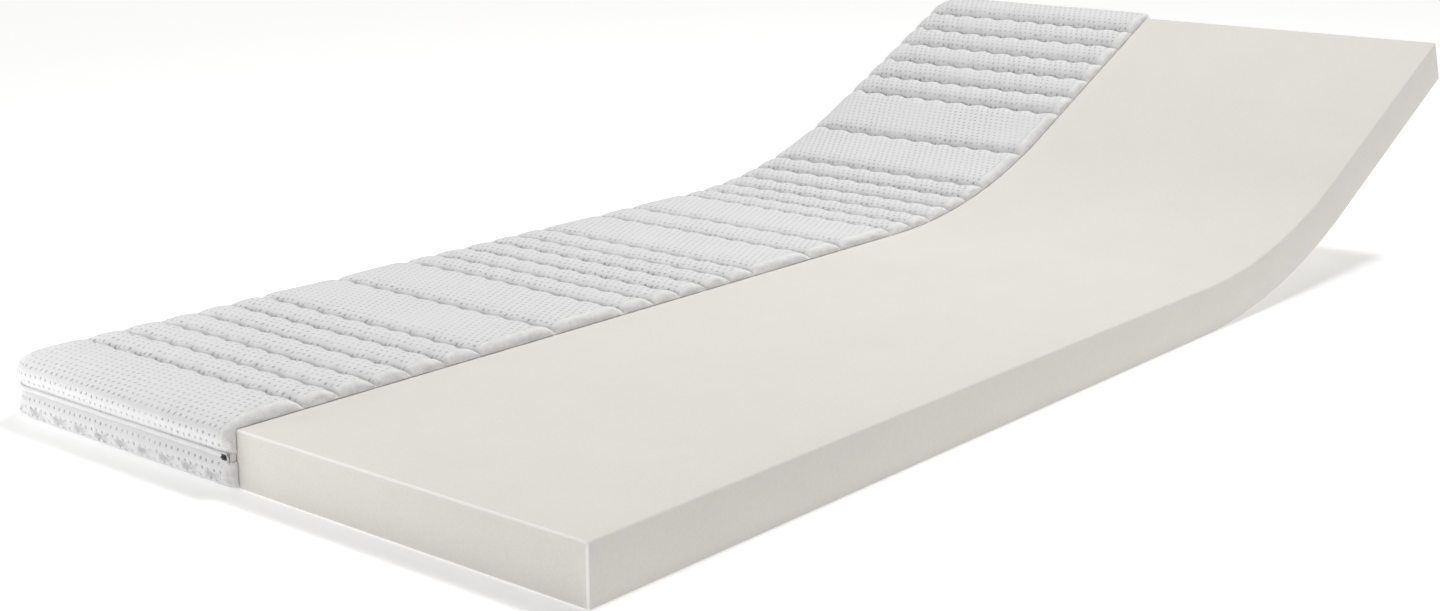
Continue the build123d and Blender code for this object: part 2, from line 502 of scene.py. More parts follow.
def foam_material(tint):
    """Matt open-cell foam: fine pores, faint clouding, and a painted highlight along its rounded end
    edges.
    """
    finish = Finish("memory_foam")
    place = finish.in_object()
    slow, fine = finish.mottle(place, 7.0, 420.0)
    cells = finish.add("ShaderNodeTexVoronoi", {"Scale": 620.0, "Randomness": 1.0}, {"Vector": place})
    pores = finish.ramp(cells.outputs["Distance"], 0.0, 0.45)
    light = finish.ramp(finish.plus(finish.times(slow, 0.35), finish.times(fine, 0.75)), 0.30, 0.80)
    body = finish.blend_colours(light, darker(tint, 0.93), tint)
    # Painted highlight: the colour goes near white where the core's "edge" attribute marks its rounded end
    # edges.
    edge = finish.add("ShaderNodeAttribute", attribute_name="edge")
    edge_highlighted = finish.add("ShaderNodeMix", links={"Factor": edge.outputs["Fac"], "A": body}, data_type="RGBA")
    edge_highlighted.inputs["B"].default_value = (0.98, 0.97, 0.95, 1)
    height = finish.plus(finish.times(pores, 0.5), fine)
    finish.surface(edge_highlighted.outputs["Result"], (0.88, 0.98), fine, height, (0.35, 0.0006))
    return finish.constants({"Specular IOR Level": 0.2, "Sheen Weight": 0.15, "Sheen Roughness": 0.6})


def knit_material(tint):
    """White double knit: slanting dimples with painted shade in their hollows, fine loops and soft wear of
    its nap.
    """
    finish = Finish("knitted_cover")
    cloth = finish.in_cloth()
    dimples = finish.add("ShaderNodeGroup", {}, {"Vector": cloth}, node_tree=GROUPS["dimples"]).outputs
    slow, fine = finish.mottle(cloth, 9.0, 700.0)
    patch = finish.plus(finish.times(finish.ramp(slow, 0.25, 0.65), 0.6), 0.4)
    # Painted shade: the dimples' hollows are coloured about half as bright as the knit.
    body = finish.blend_colours(finish.times(dimples["Painted Shade"], patch), tint, darker(tint, 0.50, 0.51, 0.53))
    height = finish.plus(finish.times(dimples["Height"], patch), finish.times(fine, 0.30))
    finish.surface(body, (0.80, 0.96), fine, height, (0.75, 0.0013))
    return finish.constants({"Specular IOR Level": 0.25, "Sheen Weight": 0.08, "Sheen Roughness": 0.5})


def wadding_material(tint):
    """Fleecy fibre wadding, matted into tufts."""
    finish = Finish("wadding")
    place = finish.in_object()
    slow, fine = finish.mottle(place, 120.0, 900.0)
    fibres = finish.add(
        "ShaderNodeTexWave", {"Scale": 160.0, "Distortion": 22.0, "Detail": 3.0, "Detail Scale": 2.5},
        {"Vector": place},
    ).outputs["Fac"]
    matted = finish.ramp(finish.plus(finish.times(slow, 0.65), finish.times(fibres, 0.35)), 0.25, 0.75)
    height = finish.plus(slow, finish.times(fibres, 0.4))
    body = finish.blend_colours(matted, darker(tint, 0.80), tint)
    finish.surface(body, (0.9, 1.0), fine, height, (0.45, 0.0014))
    return finish.constants({"Specular IOR Level": 0.1})


def woven_material(name, tint, scale):
    """A plain woven cloth, for the tape and the lining."""
    finish = Finish(name)
    cloth = finish.in_cloth()
    _, fine = finish.mottle(cloth, 14.0, 800.0)
    threads = [
        finish.add(
            "ShaderNodeTexWave", {"Scale": scale, "Distortion": 0.3}, {"Vector": cloth},
            bands_direction=direction,
        ).outputs["Fac"]
        for direction in ("X", "Y")
    ]
    weave = finish.times(*threads)
    body = finish.blend_colours(weave, darker(tint, 0.84), tint)
    finish.surface(body, (0.72, 0.9), fine, weave, (0.5, 0.0003))
    return finish.constants({"Sheen Weight": 0.2})


def thread_material(name, tint, rough):
    """Smooth nylon: quilting thread, hem and zip teeth."""
    finish = Finish(name)
    slow, fine = finish.mottle(finish.in_object(), 60.0, 2200.0)
    body = finish.blend_colours(slow, darker(tint, 0.88), tint)
    finish.surface(body, rough, fine, fine, (0.3, 0.0002))
    return finish.material


def slider_material():
    """Black enamel on cast metal, rubbed bright in places."""
    finish = Finish("zip_slider")
    slow, fine = finish.mottle(finish.in_object(), 500.0, 3000.0)
    worn = finish.ramp(slow, 0.66, 0.76)
    body = finish.blend_colours(worn, (0.018, 0.018, 0.02), (0.09, 0.09, 0.095))
    finish.surface(body, (0.28, 0.5), fine, fine, (0.2, 0.0001))
    return finish.material


def floor_material(tint):
    """A pale matt floor with a faint glow, so that its shadows stay light."""
    finish = Finish("floor")
    noise = finish.add("ShaderNodeTexNoise", {"Scale": 3.0, "Detail": 3.0}, {"Vector": finish.in_object()})
    body = finish.blend_colours(noise.outputs["Fac"], darker(tint, 0.99), tint)
    finish.link(body, finish.shader.inputs["Base Color"])
    return finish.constants({
        "Roughness": 0.9, "Specular IOR Level": 0.1, "Emission Color": (1, 1, 1, 1),
        "Emission Strength": 0.27,
    })


def make_finishes():
    """Every material, once."""
    colours = bpy.context.scene.mattress_colours
    foam, knit, wadding, tape, floor = (
        tuple(getattr(colours, name)) for name in ("foam", "knit", "wadding", "tape", "floor")
    )
    GROUPS.update(mottle=mottle_group(), dimples=dimple_group())
    FINISHES.update(
        memory_foam=foam_material(foam),
        knitted_cover=knit_material(knit),
        wadding=wadding_material(wadding),
        lining=woven_material("lining", wadding, 320.0),
        zip_tape=woven_material("zip_tape", tape, 420.0),
        hem=thread_material("hem", knit, (0.6, 0.8)),
        # The quilting thread is coloured dark grey as painted shade along the stitched grooves it lies in.
        thread=thread_material("painted_shade_thread", darker(knit, 0.5), (0.45, 0.65)),
        zip_teeth=thread_material("zip_teeth", wadding, (0.4, 0.55)),
        zip_slider=slider_material(),
        floor=floor_material(floor),
    )


# ---- The quilting ----

ROW_FLANK = (0.0007, 0.0014, 0.0026, 0.0044, 0.0068, 0.0100, 0.0142, 0.0190)  # mesh rows beside a row
FLANK_GAP = 0.002  # left free of them in the middle of a channel
SEAM_CLEAR = 0.0016  # mesh rows nearer to a seam give way to it
ROW_SWAY = 0.0022  # how far a stitch row wanders, besides its wave
HEADWARD_RISE, FOOTWARD_RISE = 2.2, 1.6  # how steeply a channel leaves a row: 1 is straight
WRINKLE_SIZE, WRINKLE_REACH, WRINKLE_START = 0.0085, 0.011, 0.003
SLACK, SLACK_REACH = 0.015, 0.006  # cloth left loose between stitches
DASH_ABOVE, DASH_BELOW = 0.0022, 0.0014  # half widths of the lower tray's tucks
LIP_AT, LIP_WIDTH, LIP_SHARE = 0.0040, 0.0026, 0.5  # the raised lip below each tuck
TUCK_AT = 0.45  # height of the lower tray's first row, as a share of the tray's
LOWER_GRID = 0.014  # mesh spacing along the lower tray

# How thick the cover is, in metres and in shares of a channel's thickness
RIM = 0.004  # inset of the core's rounded edge, where the border ends
SIDE_REACH, SIDE_SHARE = 0.020, 0.55  # stitch rows are shallower over the side
CUT_REACH, CUT_SHARE = 0.016, 0.70  # and beside the cut
CROWN_REACH = 0.03  # channels grow to full height over this inset
SWELL_SIZE, SWELL, LOWER_SWELL = 0.07, 0.0006, 0.0005
WRINKLE, LOWER_WRINKLE = 0.00025, 0.0001
TUCK_DEPTH, LOWER_SHARE = 0.0046, 0.75  # lower tray: on the border, and underneath
HEM_DROP, HEM_REACH = 0.0020, 0.009  # pressed thin beside the zip
ROLL_SHARE, ROLL_REACH = 0.12, 0.015  # and rolled down at the cut
UNDER_KNIT = 0.0003  # the wadding stays this far below the knitted face
BULGE_LEVELS = (0.06, 0.16, 0.30, 0.46, 0.62, 0.78, 0.92, 1.0)  # from the outer face to the inner
TUFT_SIZE, TUFT, FINE_TUFT_SIZE, FINE_TUFT = 0.006, 0.16, 0.0025, 0.6


def row_places(quilt):
    """Where the stitch rows cross the mattress, from its foot end."""
    group = [i * quilt.close_spacing for i in range(quilt.close_rows)]
    half = [quilt.middle_spacing / 2]
    half += [half[-1] + quilt.wide_spacing + step for step in group]
    half.append(half[-1] + quilt.wide_spacing)
    half += [half[-1] + quilt.wide_spacing + step for step in group]
    middle = LIE.end / 2 + quilt.middle_offset
    return np.array([middle - t for t in reversed(half)] + [middle + t for t in half])


def under_row_places(quilt, start):
    """Rows of the lower tray: the first and last run along the foot and head borders."""
    first = TUCK_AT * LOWER_EDGE - start
    count = int((LIE.end + LOWER_EDGE) / (2 * quilt.close_spacing))
    return np.linspace(first, LIE.end - first, count + 1)


def quilted_places(quilt, rows):
    """Mesh rows between the covered corners: crowded beside each stitch row, on every seam."""
    low, high = quilt.corner, LIE.end - quilt.corner
    places = [low, high]
    stops = [(low, False)] + [(row, True) for row in rows] + [(high, False)]
    for (a, a_row), (b, b_row) in zip(stops, stops[1:]):
        middle = (a + b) / 2
        after = [a + t for t in ROW_FLANK if a_row and a + t < middle - FLANK_GAP]
        before = [b - t for t in ROW_FLANK if b_row and b - t > middle + FLANK_GAP]
        places += [a, *after, *before]
        places += steps(([a] + after)[-1], ([b] + before)[-1], quilt.grid_along).tolist()
    places = np.unique(np.round(places, 7))
    for seam in LIE.seams:
        places = places[np.abs(places - seam) > SEAM_CLEAR]
    return np.sort(np.concatenate([places, LIE.seams]))


def plain_places(quilt, size):
    """Evenly spaced mesh rows between the covered corners, on every seam."""
    return steps(quilt.corner, LIE.end - quilt.corner, size, LIE.seams)


def row_wave(quilt, x, number):
    """How far a stitch row stands towards the head at x, and the wave's phase there."""
    drift = soft_noise(x, x * 0 + number * 3.7, 0.11, 5)
    phase = 2 * math.pi * x / quilt.wave_length + 0.55 * number + 0.9 * drift
    sway = soft_noise(x, x * 0 + number * 1.9, 0.16, 6)
    return quilt.wave_height * np.sin(phase) + ROW_SWAY * sway, phase


def quilt_relief(quilt, x, s, rows, upper):
    """0 at a stitch row to 1 on a channel's crown, and wrinkles that run into the rows."""
    away = np.full(x.shape, 1.0)
    phase = np.zeros(x.shape)
    number = np.zeros(x.shape)
    for k, row in enumerate(rows):
        near = np.abs(s - row) < quilt.wide_spacing
        shift, angle = row_wave(quilt, x[near], float(k))
        distance = s[near] - row - shift
        closer = np.abs(distance) < np.abs(away[near])
        away[near] = np.where(closer, distance, away[near])
        phase[near] = np.where(closer, angle, phase[near])
        number[near] = np.where(closer, k, number[near])
    reach = np.clip((np.abs(away) - quilt.crease) / quilt.shoulder, 0, 1)
    rise = np.where(away > 0, HEADWARD_RISE, FOOTWARD_RISE)
    dome = np.power(1 - np.power(1 - reach, rise), 1 / rise)
    fade = np.exp(-np.abs(away) / WRINKLE_REACH) * np.clip(np.abs(away) / WRINKLE_START, 0, 1)
    wrinkles = soft_noise(x, number * 7.3 + np.sign(away) * 2.1, WRINKLE_SIZE, 7) * fade
    if upper:
        slack = SLACK * (1 + np.sin(phase + 1.2)) * np.exp(-np.abs(away) / SLACK_REACH)
        return dome + (1 - dome) * slack, wrinkles
    dash = smoothstep(0.55 + 1.5 * np.sin(phase))
    tuck = np.exp(-((away / np.where(away < 0, DASH_ABOVE, DASH_BELOW)) ** 2))
    lip = np.exp(-(((away - LIP_AT) / LIP_WIDTH) ** 2))
    return 1 - dash * (tuck - LIP_SHARE * lip), wrinkles


class Tray:
    """One tray of the cover: a face over or under the core, and its border, as a grid of
    places on the core with their outward directions and the cloth's own flat coordinates."""

    def __init__(self, upper, across, places, short=0.0):
        self.quilt = quilt = bpy.context.scene.mattress_quilt
        self.upper = upper
        self.turn = 1.0 if upper else -1.0
        self.face = CORE_TOP if upper else quilt.settle
        self.cover = TOP if upper else quilt.settle
        radius, corner = quilt.edge, quilt.corner
        border_size = quilt.grid_border if upper else quilt.grid_border / 3
        border = self.border(UPPER_EDGE if upper else LOWER_EDGE, radius, border_size)
        self.start = border["run"][-1] - radius
        self.stitch_rows = row_places(quilt) if upper else under_row_places(quilt, self.start)
        to_corner = steps(radius, corner, quilt.grid_border)[1:]
        open_edge = CUT - short - LEFT
        last = open_edge - 0.0002  # a narrow column, for a crisp rim
        columns = np.concatenate([to_corner, steps(corner, last, across)[1:], [open_edge]])
        rows = np.concatenate([to_corner, places[1:-1], LIE.end - to_corner[::-1]])
        self.columns = self.with_border(border, columns, False)
        self.rows = self.with_border(border, np.minimum(rows, LIE.end - rows), True)
        self.place = np.concatenate([border["inset"], rows, LIE.end - border["inset"][::-1]])
        self.fold(corner)
        if upper:
            self.follow_rows(corner)

    def with_border(self, border, inset, both):
        """Values over the border and then the face, with the border again at the far end."""
        face = {
            "inset": inset,
            "rise": np.full(len(inset), self.face),
            "lean": np.full(len(inset), math.pi / 2),
            "run": inset + self.start,
        }
        return {
            key: np.concatenate([border[key], values] + [border[key][::-1]] * both)
            for key, values in face.items()
        }

    def border(self, edge, radius, size):
        """The profile from the zip, up or down the border and over the core's edge."""
        wall = abs(self.face - edge) - radius
        count = max(3, math.ceil(wall / size))
        up = np.linspace(0, wall, count + 1)
        turns = np.linspace(0, math.pi / 2, 8)[1:]
        inset = np.concatenate([np.zeros(count + 1), radius * (1 - np.cos(turns))])
        rise = np.concatenate([up, wall + radius * np.sin(turns)])
        return {
            "inset": inset,
            "rise": edge + self.turn * rise,
            "lean": np.concatenate([np.zeros(count + 1), turns]),
            "run": np.concatenate([up, wall + (radius + SIDE) * turns]),
        }

    def fold(self, corner):
        """Lays the flat grid over the core, round its two covered corners."""
        shape = (len(self.place), len(self.columns["run"]))
        across = {key: np.broadcast_to(values, shape) for key, values in self.columns.items()}
        along = {key: np.broadcast_to(values[:, None], shape) for key, values in self.rows.items()}
        side_run, end_run = across["run"], along["run"]
        by_side = side_run <= end_run
        self.inset, self.rise, self.lean = (
            np.where(by_side, across[key], along[key]) for key in ("inset", "rise", "lean")
        )
        run, other = np.minimum(side_run, end_run), np.maximum(side_run, end_run)
        last = self.start + corner
        turning = (other < last - 1e-9) & (self.inset < corner)
        angle = math.pi / 4 * (1 - np.clip((other - run) / np.maximum(last - run, 1e-9), 0, 1))
        near, far = np.cos(angle), np.sin(angle)
        out_x = -np.where(turning, np.where(by_side, near, far), by_side * 1.0)
        out_s = -np.where(turning, np.where(by_side, far, near), ~by_side * 1.0)
        x = np.where(turning, corner + (corner - self.inset) * out_x, across["inset"])
        end = np.where(turning, corner + (corner - self.inset) * out_s, along["inset"])
        headward = self.place[:, None] > LIE.end / 2
        self.x = LEFT + x
        self.s = np.where(headward, LIE.end - end, end)
        self.out = (
            out_x * np.cos(self.lean),
            np.where(headward, -out_s, out_s) * np.cos(self.lean),
            self.turn * np.sin(self.lean),
        )
        self.flat_x = side_run - self.start
        self.flat_s = np.where(headward, LIE.end + self.start - end_run, end_run - self.start)

    def follow_rows(self, corner):
        """Shifts mesh rows so that they run along the waving stitch rows."""
        place = self.place
        away = place[:, None] - self.stitch_rows[None, :]
        number = np.argmin(np.abs(away), 1)
        away = np.abs(away[np.arange(len(place)), number])
        hold = np.minimum.reduce([smoothstep(np.abs(place - t) / 0.012) for t in LIE.seams])
        hold = hold * smoothstep((np.minimum(place, LIE.end - place) - corner) / 0.03)
        shift, _ = row_wave(self.quilt, self.flat_x, number[:, None].astype(float))
        shift = shift * ((1 - smoothstep(away / 0.025)) * hold)[:, None]
        self.s = self.s + shift
        self.flat_s = self.flat_s + shift

    def shell(self, lift):
        """The grid's points in the frame, lifted off the core."""
        return LIE.place(
            self.x + self.out[0] * lift, self.s + self.out[1] * lift, self.rise + self.out[2] * lift
        )

    def rounded_cover(self):
        """Cover thickness that rounds its outside over the core's crisp edge."""
        quilt = self.quilt
        size = quilt.upper_round if self.upper else quilt.lower_round
        in_a, in_b = size - SIDE, size - self.cover
        drop = np.abs(self.rise - self.face)
        wall = np.sqrt(np.maximum(size**2 - np.maximum(in_b - drop, 0) ** 2, 0)) - in_a
        top = np.sqrt(np.maximum(size**2 - np.maximum(in_a - self.inset, 0) ** 2, 0)) - in_b
        a, b = quilt.edge - in_a, quilt.edge - in_b
        along = a * np.cos(self.lean) + b * np.sin(self.lean)
        turn = along + np.sqrt(np.maximum(along**2 - a**2 - b**2 + size**2, 0)) - quilt.edge
        flat, upright = self.lean > math.pi / 2 - 1e-6, self.lean < 1e-6
        return np.where(upright, wall, np.where(flat, top, turn))

    def thickness(self, pressed=False):
        """The cover's thickness over each place; pressed gives the floor of the stitch rows."""
        quilt = self.quilt
        over = smoothstep(self.lean / (math.pi / 2))
        full = self.rounded_cover()
        relief, wrinkles = quilt_relief(quilt, self.flat_x, self.flat_s, self.stitch_rows, self.upper)
        swell = soft_noise(self.flat_x, self.flat_s, SWELL_SIZE, 11)
        edge_run = np.minimum(self.columns["run"][None, :], self.rows["run"][:, None])
        share = np.clip(edge_run / (self.start - quilt.edge), 0, 1)
        full = full + quilt.belly * np.sin(math.pi * share) ** 1.3 * (1 - over)
        to_cut = (CUT - LEFT) - self.flat_x
        if self.upper:
            thin = np.minimum(quilt.stitched, 0.6 * full)
            at_cut = 1 - smoothstep(to_cut / CUT_REACH)
            at_side = 1 - smoothstep((self.inset - RIM) / SIDE_REACH)
            thin = thin + (CUT_SHARE * full - thin) * at_cut
            thin = thin + (SIDE_SHARE * full - thin) * at_side
            crown = smoothstep((self.inset - RIM) / CROWN_REACH) * over
            full = full + quilt.puff * crown + SWELL * swell
            wrinkle = WRINKLE
        else:
            tucked = np.maximum(full - TUCK_DEPTH, 0.4 * full)
            thin = np.where(over < 0.5, tucked, LOWER_SHARE * full)
            full = full + LOWER_SWELL * swell * (1 - over)
            wrinkle = LOWER_WRINKLE * (1 - over)
            # The floor is flat, so nothing stands out of the underside
            relief = np.where(over > 0.5, np.minimum(relief, 1), relief)
        if pressed:
            relief = np.zeros_like(relief)
        thick = thin + (full - thin) * relief + wrinkle * wrinkles
        hemmed = HEM_DROP * (1 - smoothstep(edge_run / HEM_REACH))
        rolled = ROLL_SHARE * thick * (1 - smoothstep(to_cut / ROLL_REACH)) ** 2
        return np.maximum(thick - hemmed - rolled, 0.5 * thin)

    def flat_size(self, rows):
        """Width and length that the cloth of a range of mesh rows was cut to."""
        length = self.flat_s[rows][-1, 0] - self.flat_s[rows][0, 0]
        return float(self.columns["run"][-1]), float(abs(length))


def make_cloth(tray, outer, inner, layer, finish):
    """A tray's cloth between two shells: a closed sheet for each part, stretched over a layer."""
    uv = np.stack([tray.flat_x, tray.flat_s], -1)
    for part, rows in enumerate(part_ranges(tray.place)):
        points, faces = closed_layer(outer[rows], inner[rows], not tray.upper)
        uvs = np.concatenate([uv[rows].reshape(-1, 2)] * 2)
        obj = new_mesh(f"{layer}_{PARTS[part]}", points, faces, finish, uvs)
        sharpen(obj, 50)
        place_piece(obj, part, layer)
        tray.flat_size(rows)


def tray_name(upper, layer):
    """The CAD nodes' name for a layer of one tray."""
    return f"cover_{'upper' if upper else 'lower'}_{layer}"


def tray_places(upper):
    """Mesh rows of a tray's knit and wadding."""
    quilt = bpy.context.scene.mattress_quilt
    return quilted_places(quilt, row_places(quilt)) if upper else plain_places(quilt, LOWER_GRID)


def make_knit(upper):
    """The quilted knitted face of one tray."""
    quilt = bpy.context.scene.mattress_quilt
    across = quilt.grid_across if upper else quilt.grid_across * 0.6
    tray = Tray(upper, across, tray_places(upper), quilt.knit_short)
    thick = tray.thickness()
    outer, inner = tray.shell(thick), tray.shell(thick - quilt.knit)
    make_cloth(tray, outer, inner, tray_name(upper, "knit"), "knitted_cover")


def make_lining(upper):
    """The thin backing against the core."""
    quilt = bpy.context.scene.mattress_quilt
    tray = Tray(upper, 0.04, plain_places(quilt, 0.02))
    outer = tray.shell(np.full_like(tray.x, quilt.lining))
    inner = tray.shell(np.zeros_like(tray.x))
    make_cloth(tray, outer, inner, tray_name(upper, "lining"), "lining")


def make_wadding(upper):
    """The fibre layer under the knitted face, fleecy where the cover is cut open."""
    quilt = bpy.context.scene.mattress_quilt
    tray = Tray(upper, quilt.grid_across * 2, tray_places(upper), quilt.wadding_short)
    thick = tray.thickness()
    under = least_near(tray.thickness(pressed=not upper))
    lift = np.maximum(under - quilt.knit - UNDER_KNIT, quilt.lining * 1.5)
    lift[:, -1] = thick[:, -1]  # flush with the knitted face beside its edge
    outer = tray.shell(lift)
    inner = tray.shell(np.full_like(thick, quilt.lining))
    bulge = cut_bulge(quilt, tray, outer, inner, thick)
    name = tray_name(upper, "wadding")
    for part, rows in enumerate(part_ranges(tray.place)):
        points, faces = bulged_layer(outer[rows], inner[rows], bulge[rows], upper)
        obj = new_mesh(f"{name}_{PARTS[part]}", points, faces, "wadding")
        mend_normals(obj)
        sharpen(obj, 60)
        place_piece(obj, part, name)


def make_tray(upper):
    """One tray of the cover."""
    make_lining(upper)
    make_wadding(upper)
    make_knit(upper)


def least_near(values):
    """The least of each value and its neighbours on the grid."""
    wide = np.pad(values, 1, mode="edge")
    rows, columns = values.shape
    return np.minimum.reduce([wide[a:a + rows, b:b + columns] for a in range(3) for b in range(3)])


def cut_bulge(quilt, tray, outer, inner, thick):
    """Rows of points that swell out of the cover's open edge, from outer face to inner."""
    top, low = outer[:, -1], inner[:, -1]
    s = tray.flat_s[:, -1]
    full = np.clip(thick[:, -1] / TOP, 0, 1)
    points = []
    for share in BULGE_LEVELS:
        down = s * 0 + share * 0.02
        fine = FINE_TUFT * soft_noise(s, down, FINE_TUFT_SIZE, 22)
        tuft = TUFT * (soft_noise(s, down, TUFT_SIZE, 21) + fine)
        swell = math.sin(math.pi / 2 * share) ** 0.6
        out = quilt.wadding_reach * swell * (0.9 + 0.1 * full) * (1 + tuft * (1 - share**4))
        level = top + (low - top) * (0.97 * share**1.5)
        points.append(level + np.stack([out, 0 * out, 0 * out], -1))
    return np.stack(points, 1)


def bulged_layer(outer, inner, bulge, flip):
    """A closed layer whose open edge is rounded by extra rows of points."""
    rows, columns = outer.shape[:2]
    extra = bulge.shape[1]
    count = rows * columns
    grid = np.concatenate([outer, bulge, inner[:, ::-1]], 1)
    width = grid.shape[1]
    faces = quads(rows, width, 0, flip).tolist()
    first = np.arange(rows) * width
    last = first + width - 1
    seam = np.stack([first[:-1], first[1:], last[1:], last[:-1]], -1)
    faces += (seam[:, ::-1] if flip else seam)[:, ::-1].tolist()
    for row, order in ((0, 1), (rows - 1, -1)):
        base = row * width
        for c in range(columns - 1):
            face = [base + c, base + c + 1, base + width - 2 - c, base + width - 1 - c]
            faces.append(face[::-1] if (order > 0) == flip else face)
        fan = [base + columns - 1 + i for i in range(extra + 2)]
        faces.append(fan[::-1] if (order > 0) == flip else fan)
    return grid.reshape(-1, 3), faces


# ---- The core ----

CORE_GRID = 0.012
CORNER_GRID = 0.003
RELIEF_SLOPE = 0.004  # the underside steps up to its covered part over this width


def core_stations(quilt):
    """Places along the core: close at its rounded ends and corners, and on every seam."""
    radius = quilt.edge
    rounding = radius * (1 - np.cos(np.linspace(0, math.pi / 2, 6)))
    corner = steps(radius, quilt.corner, CORNER_GRID)[1:]
    start = np.concatenate([rounding, corner])
    middle = steps(quilt.corner, LIE.end - quilt.corner, CORE_GRID, LIE.seams)[1:-1]
    return np.concatenate([start, middle, LIE.end - start[::-1]])


def core_outline(quilt, s):
    """The core's section at s, as x and h round its edge, rounded and inset near the ends.

    Its underside is a little higher where the cover's lower tray lies under it."""
    radius = quilt.edge
    to_end = min(s, LIE.end - s)
    inset = radius - math.sqrt(max(radius**2 - max(radius - to_end, 0) ** 2, 0))
    short = max(quilt.corner - to_end, 0)
    left = LEFT + quilt.corner - math.sqrt(max(quilt.corner**2 - short**2, 0)) + inset
    right, low, high = RIGHT - inset, inset, CORE_TOP - inset
    covered_low = quilt.settle + inset
    bend = max(radius - inset, 1e-5)
    turns = np.linspace(0, math.pi / 2, 6)
    points = []

    def arc(cx, cz, start):
        points.extend(
            (cx + bend * math.cos(start + t), cz + bend * math.sin(start + t)) for t in turns
        )

    def run(x0, x1, z, count):
        points.extend((x0 + (x1 - x0) * (i + 1) / (count + 1), z) for i in range(count))

    arc(right - bend, low + bend, -math.pi / 2)
    arc(right - bend, high - bend, 0)
    run(right - bend, CUT, high, 10)
    run(CUT, left + bend, high, 8)
    arc(left + bend, high - bend, math.pi / 2)
    arc(left + bend, covered_low + bend, math.pi)
    run(left + bend, CUT, covered_low, 8)
    points.append((CUT, covered_low))
    points.append((CUT + RELIEF_SLOPE, low))
    run(CUT + RELIEF_SLOPE, right - bend, low, 10)
    return np.array(points)


def make_core():
    """The foam core in four parts that meet face to face."""
    quilt = bpy.context.scene.mattress_quilt
    stations = core_stations(quilt)
    sections = np.stack([core_outline(quilt, s) for s in stations])
    for part, rows in enumerate(part_ranges(stations)):
        block = sections[rows]
        s = np.repeat(stations[rows][:, None], block.shape[1], 1)
        points = LIE.place(block[..., 0], s, block[..., 1])
        faces = tube_faces(block.shape[0], block.shape[1], True)
        obj = new_mesh(f"foam_core_{PARTS[part]}", points, faces, "memory_foam")
        to_end = np.minimum(s, LIE.end - s)
        # Marks the rounded end edges, where the foam material paints a highlight.
        rounded = ((to_end > 1e-6) & (to_end < 0.8 * quilt.edge)).ravel().astype(float)
        obj.data.attributes.new("edge", "FLOAT", "POINT").data.foreach_set("value", rounded)
        mend_normals(obj)
        sharpen(obj, 35)
        place_piece(obj, part, "foam_core")


# ---- Zip, hem and thread ----

ROUTE_STEP = 0.008
TAPE_THICKNESS, COIL_STEP, TAPE_CROWN = 0.0016, 0.0010, 0.0002
TAPE_HIDDEN = 0.001  # the tapes run on behind the trays
SEAM_GAP = 0.0002  # between the seam allowance and the lining
SEAM_BEHIND = 0.0034  # the seam allowance's face, behind the knitted one
SEAM_PLAY = 0.0003  # above and below it
HEM_IN, HEM_DOWN = 0.0004, 0.0006  # the hem's middle, from the upper tray's edge
TEETH_APART = 0.0009  # a row of teeth, from the chain's middle
THREAD_START, THREAD_END, THREAD_POINTS = 0.018, 0.006, 200


def mirrored(values, side, turned=1):
    """A route's values from the foot cut up the side, then in reverse order to the head cut."""
    return np.concatenate([values, turned * values[-side - 1::-1]])


def border_route(quilt):
    """Stations round the border from the foot cut to the head cut, with outward directions."""
    corner = quilt.corner
    end_x = steps(LEFT + corner, CUT, ROUTE_STEP)[::-1]
    turns = np.linspace(0, math.pi / 2, 14)[1:]
    side = steps(corner, LIE.end - corner, ROUTE_STEP, LIE.seams)[1:]
    count = len(side)
    x = np.concatenate([end_x, LEFT + corner - corner * np.sin(turns), np.full(count, LEFT)])
    s = np.concatenate([0 * end_x, corner - corner * np.cos(turns), side])
    out_x = np.concatenate([0 * end_x, -np.sin(turns), np.full(count, -1.0)])
    out_s = np.concatenate([np.full(len(end_x), -1.0), -np.cos(turns), 0 * side])
    x = mirrored(x, count)
    s = np.concatenate([s, LIE.end - s[-count - 1::-1]])
    keep = np.concatenate([[True], np.hypot(np.diff(x), np.diff(s)) > 1e-7])
    return x[keep], s[keep], mirrored(out_x, count)[keep], mirrored(out_s, count, -1)[keep]


def border_strip(name, finish, section, kind=None):
    """Closed strips round the border with a given section of (offset, h) points."""
    x, s, out_x, out_s = border_route(bpy.context.scene.mattress_quilt)
    run = np.concatenate([[0], np.cumsum(np.hypot(np.diff(x), np.diff(s)))])
    section = np.array(section)
    around = len(section)
    girth = np.concatenate([[0], np.cumsum(np.hypot(*np.diff(section, axis=0).T))])
    for part, rows in enumerate(part_ranges(s)):
        count = rows.stop - rows.start
        offset, level, round_it = (
            np.broadcast_to(values, (count, around)) for values in (section[:, 0], section[:, 1], girth)
        )
        points = LIE.place(
            x[rows, None] + out_x[rows, None] * offset, s[rows, None] + out_s[rows, None] * offset, level
        )
        uvs = np.stack([round_it, np.repeat(run[rows, None], around, 1)], -1)
        faces = tube_faces(count, around, False)
        obj = new_mesh(f"{name}_{PARTS[part]}", points, faces, finish, uvs)
        mend_normals(obj)
        sharpen(obj, 50)
        place_piece(obj, part, kind)


def tape_section(far, near):
    """A tape's section: its flat face between two heights, and a thinner strip that backs
    the coil of teeth."""
    out = FOOT - TAPE_LOW.y
    back, step, crown = out - TAPE_THICKNESS, out - COIL_STEP, out + TAPE_CROWN
    middle = (far + near) / 2
    return [(back, far), (out, far), (crown, middle), (out, near), (step, near), (step, CHAIN),
            (back, CHAIN)]


def seam_section():
    """The cover's folded seam allowance, which fills the space behind the zip."""
    low, high = LOWER_EDGE + SEAM_PLAY, UPPER_EDGE - SEAM_PLAY
    back = bpy.context.scene.mattress_quilt.lining + SEAM_GAP
    out = SIDE - SEAM_BEHIND
    return [(back, low), (out, low), (out, high), (back, high)]


